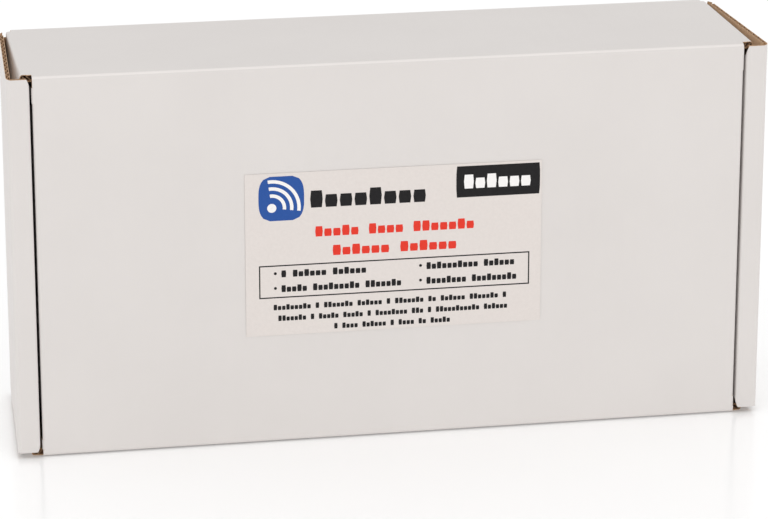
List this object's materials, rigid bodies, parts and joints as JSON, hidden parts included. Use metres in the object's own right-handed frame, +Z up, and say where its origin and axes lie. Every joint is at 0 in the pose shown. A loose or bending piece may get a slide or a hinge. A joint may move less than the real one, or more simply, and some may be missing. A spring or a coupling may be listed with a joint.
{
  "type": "rear parking sensor kit",
  "caption": "Rear parking sensor kit in its white corrugated mailer carton, with a hinged tuck lid, fitted foam insert, control module, sensors, sleeves, speaker and manuals.",
  "frame": {"origin": "centre of the footprint of the standing carton, on the surface it stands on", "axes": "+Z up, the labelled lid faces -Y, +X to the right of someone who looks at the lid"},
  "size_m": [0.33, 0.0832, 0.17],
  "materials": {
    "white_board": "white clay-coated corrugated board, kraft inside",
    "label_paper": null,
    "foam": "closed-cell packing foam",
    "black_plastic": "fine spark-textured black plastic",
    "socket_plastic": "natural nylon",
    "circuit_board": "green solder mask",
    "electronic_parts": "moulded components",
    "zinc_steel": "zinc plated",
    "tinned_brass": "tinned",
    "aluminium": "black coated aluminium",
    "rubber": "soft rubber",
    "potting": "cast potting compound",
    "adhesive_foam": "foam tape with a liner",
    "cone_paper": "pressed paper",
    "clear_film": "thin clear polythene",
    "tap_plastic": "blue plastic",
    "tie_nylon": "black nylon",
    "manual_paper": "uncoated printed paper"
  },
  "bodies": {
    "carton": {"back_panel": "white_board", "bag_screws": "zinc_steel", "cable_ties": "tie_nylon", "foam_insert": "foam", "hardware_bag": "clear_film", "hinge_wall": "white_board", "installation_manual": "manual_paper", "left_end_inner_panel": "white_board", "left_end_outer_panel": "white_board", "left_end_roll_top": "white_board", "left_hinge_wall_tab": "white_board", "left_tuck_wall_corner": "white_board", "left_tuck_wall_tab": "white_board", "medium_angle_sleeves": "black_plastic", "module_adhesive_pad": "adhesive_foam", "module_base": "black_plastic", "module_circuit_board": "circuit_board", "module_components": "electronic_parts", "module_cover": "black_plastic", "module_screws": "zinc_steel", "power_socket": "socket_plastic", "right_end_inner_panel": "white_board", "right_end_outer_panel": "white_board", "right_end_roll_top": "white_board", "right_hinge_wall_tab": "white_board", "right_tuck_wall_corner": "white_board", "right_tuck_wall_tab": "white_board", "sensor_housings": "black_plastic", "sensor_lead_glands": "rubber", "sensor_piezo_discs": "tinned_brass", "sensor_potting": "potting", "sensor_seal_rings": "rubber", "sensor_sockets": "socket_plastic", "sensor_transducers": "aluminium", "slight_angle_sleeves": "black_plastic", "socket_pins": "tinned_brass", "speaker_adhesive_pad": "adhesive_foam", "speaker_base": "black_plastic", "speaker_cone": "cone_paper", "speaker_cover": "black_plastic", "speaker_frame": "zinc_steel", "speaker_lead_gland": "rubber", "speaker_magnet": "zinc_steel", "speaker_screws": "zinc_steel", "speaker_socket": "socket_plastic", "steep_angle_sleeves": "black_plastic", "straight_sleeves": "black_plastic", "tuck_wall": "white_board", "user_manual": "manual_paper", "volume_switch_body": "electronic_parts", "wire_taps": "tap_plastic"},
    "lid": {"lid_panel": "white_board", "lid_label": "label_paper"},
    "right_flap": {"right_dust_flap": "white_board"},
    "left_flap": {"left_dust_flap": "white_board"},
    "tuck": {"tuck_step": "white_board", "tuck_flap": "white_board"},
    "volume": {"volume_slider": "black_plastic"}
  },
  "joints": [
    {"name": "lid_hinge", "type": "hinge", "parent": "carton", "child": "lid", "pos_m": [0, -0.04, 0.1685], "axis": [-1, 0, 0], "range_deg": [0, 175]},
    {"name": "tuck_fold", "type": "hinge", "parent": "lid", "child": "tuck", "pos_m": [0, -0.0383, 0.0039], "axis": [1, 0, 0], "range_deg": [0, 60]},
    {"name": "right_flap_fold", "type": "hinge", "parent": "lid", "child": "right_flap", "pos_m": [0.1506, -0.0383, 0.085], "axis": [0, 0, 1], "range_deg": [0, 85]},
    {"name": "left_flap_fold", "type": "hinge", "parent": "lid", "child": "left_flap", "pos_m": [-0.1506, -0.0383, 0.085], "axis": [0, 0, -1], "range_deg": [0, 85]},
    {"name": "volume_slide", "type": "slide", "parent": "carton", "child": "volume", "axis": [1, 0, 0], "range_m": [-0.004, 0.004]}
  ]
}
